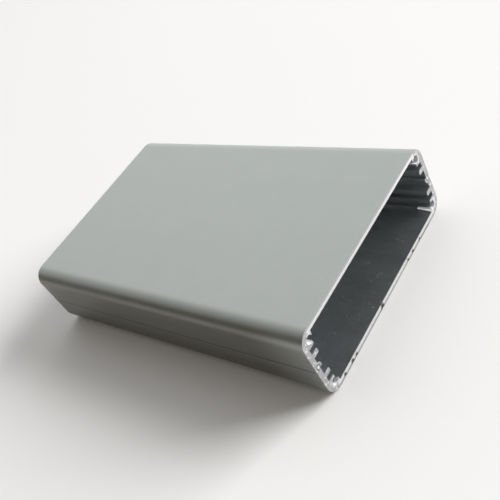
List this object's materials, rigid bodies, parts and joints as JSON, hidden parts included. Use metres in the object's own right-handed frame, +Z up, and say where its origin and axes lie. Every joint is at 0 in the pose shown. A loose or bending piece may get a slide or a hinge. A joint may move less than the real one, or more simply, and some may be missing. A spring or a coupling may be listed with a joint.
{
  "type": "aluminium enclosure",
  "caption": "Slim split aluminium enclosure: interlocking extruded shells with rounded long corners, open ends, corner screw channels and slots for circuit boards.",
  "frame": {"origin": "middle of the underside", "axes": "+X along the extrusion, +Y across it towards the far side wall, +Z up through the top plate"},
  "size_m": [0.125, 0.078, 0.027],
  "materials": {
    "anodised_aluminium": "bead-blasted silver-grey anodised, with bright sawn ends"
  },
  "bodies": {
    "lower_shell": {"lower_shell": "anodised_aluminium"},
    "upper_shell": {"upper_shell": "anodised_aluminium"}
  },
  "joints": [
    {"name": "shell_slide", "type": "slide", "parent": "lower_shell", "child": "upper_shell", "axis": [1, 0, 0], "range_m": [-0.125, 0.125]}
  ]
}
